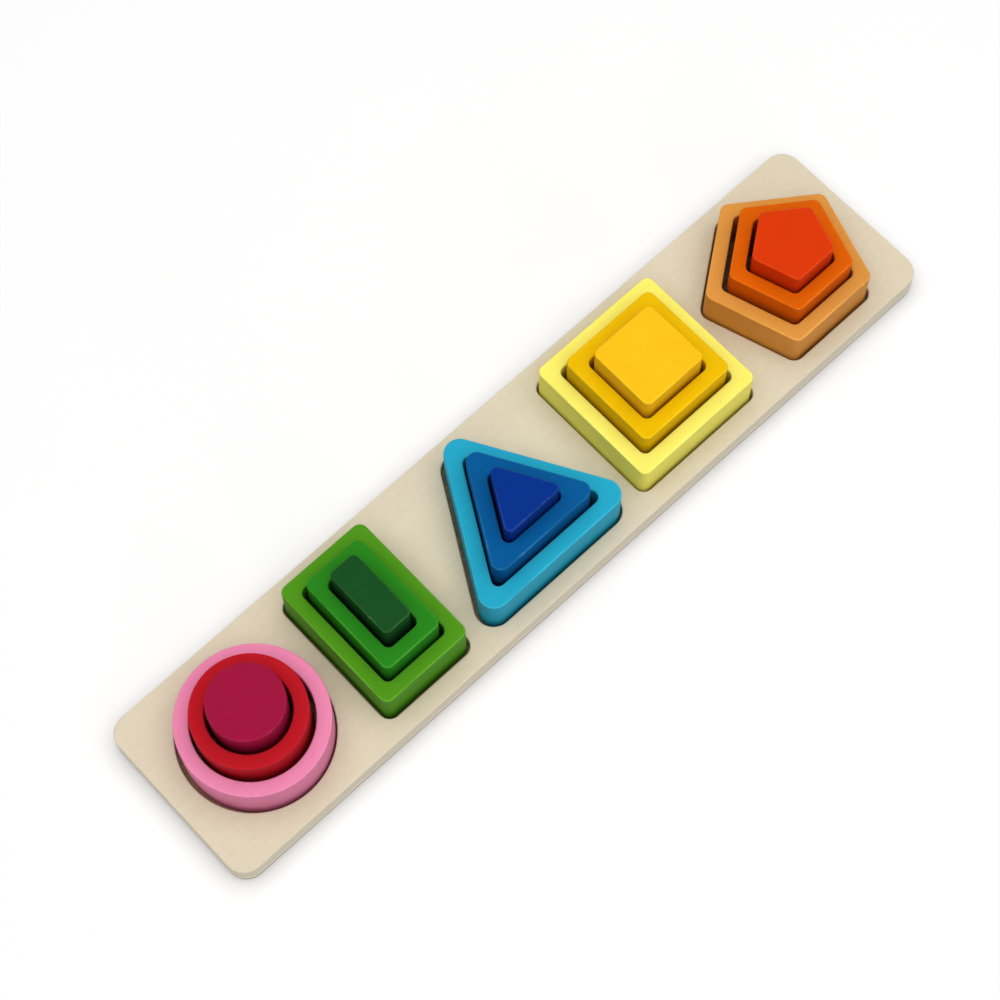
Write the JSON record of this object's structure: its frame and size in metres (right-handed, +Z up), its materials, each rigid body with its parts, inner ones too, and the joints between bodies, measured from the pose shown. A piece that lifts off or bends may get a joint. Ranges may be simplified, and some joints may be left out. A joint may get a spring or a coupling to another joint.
{
  "type": "shape nesting board",
  "caption": "Long plywood board with shaped recesses in a row, each holding loose painted wooden blocks nested in each other and rising towards the middle.",
  "frame": {"origin": "under the middle of the board, on the surface it stands on", "axes": "+X along the board from the circle to the pentagon, +Y across it to the back long edge, where the triangle and the pentagon point, +Z up"},
  "size_m": [0.4, 0.087, 0.05],
  "materials": {
    "base_plywood": "pale sanded plywood",
    "frame_plywood": "pale sanded plywood",
    "pink_paint": "satin pink paint",
    "red_paint": "satin red paint",
    "crimson_paint": "satin crimson paint",
    "light_green_paint": "satin light green paint",
    "green_paint": "satin green paint",
    "dark_green_paint": "satin dark green paint",
    "cyan_paint": "satin cyan paint",
    "blue_paint": "satin blue paint",
    "dark_blue_paint": "satin dark blue paint",
    "pale_yellow_paint": "satin pale yellow paint",
    "yellow_paint": "satin yellow paint",
    "amber_paint": "satin amber paint",
    "tan_paint": "satin tan paint",
    "orange_paint": "satin orange paint",
    "red_orange_paint": "satin red-orange paint"
  },
  "bodies": {
    "board": {"base_panel": "base_plywood", "top_frame": "frame_plywood"},
    "circle_outer_ring": {"circle_outer_ring": "pink_paint"},
    "circle_middle_ring": {"circle_middle_ring": "red_paint"},
    "circle_inner_block": {"circle_inner_block": "crimson_paint"},
    "rectangle_outer_ring": {"rectangle_outer_ring": "light_green_paint"},
    "rectangle_middle_ring": {"rectangle_middle_ring": "green_paint"},
    "rectangle_inner_block": {"rectangle_inner_block": "dark_green_paint"},
    "triangle_outer_ring": {"triangle_outer_ring": "cyan_paint"},
    "triangle_middle_ring": {"triangle_middle_ring": "blue_paint"},
    "triangle_inner_block": {"triangle_inner_block": "dark_blue_paint"},
    "square_outer_ring": {"square_outer_ring": "pale_yellow_paint"},
    "square_middle_ring": {"square_middle_ring": "yellow_paint"},
    "square_inner_block": {"square_inner_block": "amber_paint"},
    "pentagon_outer_ring": {"pentagon_outer_ring": "tan_paint"},
    "pentagon_middle_ring": {"pentagon_middle_ring": "orange_paint"},
    "pentagon_inner_block": {"pentagon_inner_block": "red_orange_paint"}
  },
  "joints": [
    {"name": "circle_outer_ring_lift", "type": "slide", "parent": "board", "child": "circle_outer_ring", "axis": [0, 0, 1], "range_m": [0, 0.06]},
    {"name": "circle_middle_ring_lift", "type": "slide", "parent": "board", "child": "circle_middle_ring", "axis": [0, 0, 1], "range_m": [0, 0.06]},
    {"name": "circle_inner_block_lift", "type": "slide", "parent": "board", "child": "circle_inner_block", "axis": [0, 0, 1], "range_m": [0, 0.06]},
    {"name": "rectangle_outer_ring_lift", "type": "slide", "parent": "board", "child": "rectangle_outer_ring", "axis": [0, 0, 1], "range_m": [0, 0.06]},
    {"name": "rectangle_middle_ring_lift", "type": "slide", "parent": "board", "child": "rectangle_middle_ring", "axis": [0, 0, 1], "range_m": [0, 0.06]},
    {"name": "rectangle_inner_block_lift", "type": "slide", "parent": "board", "child": "rectangle_inner_block", "axis": [0, 0, 1], "range_m": [0, 0.06]},
    {"name": "triangle_outer_ring_lift", "type": "slide", "parent": "board", "child": "triangle_outer_ring", "axis": [0, 0, 1], "range_m": [0, 0.06]},
    {"name": "triangle_middle_ring_lift", "type": "slide", "parent": "board", "child": "triangle_middle_ring", "axis": [0, 0, 1], "range_m": [0, 0.06]},
    {"name": "triangle_inner_block_lift", "type": "slide", "parent": "board", "child": "triangle_inner_block", "axis": [0, 0, 1], "range_m": [0, 0.06]},
    {"name": "square_outer_ring_lift", "type": "slide", "parent": "board", "child": "square_outer_ring", "axis": [0, 0, 1], "range_m": [0, 0.06]},
    {"name": "square_middle_ring_lift", "type": "slide", "parent": "board", "child": "square_middle_ring", "axis": [0, 0, 1], "range_m": [0, 0.06]},
    {"name": "square_inner_block_lift", "type": "slide", "parent": "board", "child": "square_inner_block", "axis": [0, 0, 1], "range_m": [0, 0.06]},
    {"name": "pentagon_outer_ring_lift", "type": "slide", "parent": "board", "child": "pentagon_outer_ring", "axis": [0, 0, 1], "range_m": [0, 0.06]},
    {"name": "pentagon_middle_ring_lift", "type": "slide", "parent": "board", "child": "pentagon_middle_ring", "axis": [0, 0, 1], "range_m": [0, 0.06]},
    {"name": "pentagon_inner_block_lift", "type": "slide", "parent": "board", "child": "pentagon_inner_block", "axis": [0, 0, 1], "range_m": [0, 0.06]}
  ]
}
